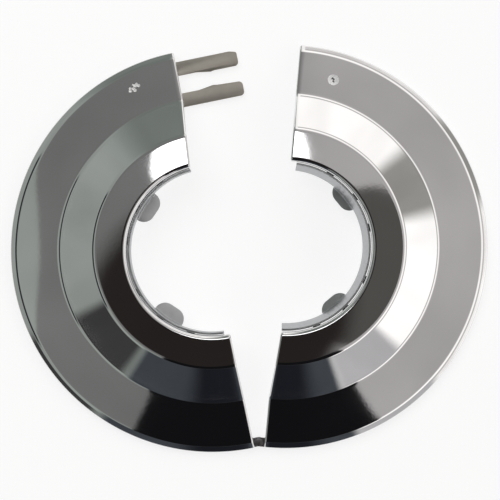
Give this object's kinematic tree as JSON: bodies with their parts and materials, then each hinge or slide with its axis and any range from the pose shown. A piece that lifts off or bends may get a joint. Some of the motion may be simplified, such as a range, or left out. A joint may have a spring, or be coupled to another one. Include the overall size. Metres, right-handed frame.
{
  "type": "pipe escutcheon",
  "caption": "Split round pipe escutcheon: pressed chrome half plates hinged at the rim, with a spring fork latch and sprung tongues that grip the pipe.",
  "frame": {"origin": "middle of the open plate's footprint on the wall plane that its rim rests on", "axes": "+Z out of the wall along the pipe, +Y from the hinge towards the latch side, +X from the left half to the right half"},
  "size_m": [0.0944, 0.0808, 0.011],
  "materials": {
    "chrome_plate": "bright chrome plate on pressed steel",
    "spring_steel": "dull zinc-plated spring strip",
    "fork_steel": "satin spring steel",
    "plain_steel": "plain steel"
  },
  "bodies": {
    "left_half": {"left_plate": "chrome_plate", "left_grip_band": "spring_steel", "latch_fork": "fork_steel", "hinge_rivet": "plain_steel"},
    "right_half": {"right_plate": "chrome_plate", "right_grip_band": "spring_steel", "keeper_stud": "plain_steel"}
  },
  "joints": [
    {"name": "hinge_swing", "type": "hinge", "parent": "left_half", "child": "right_half", "pos_m": [0.00198, -0.03821, 0.001], "axis": [0, 0, -1], "range_deg": [-18, 36]}
  ]
}
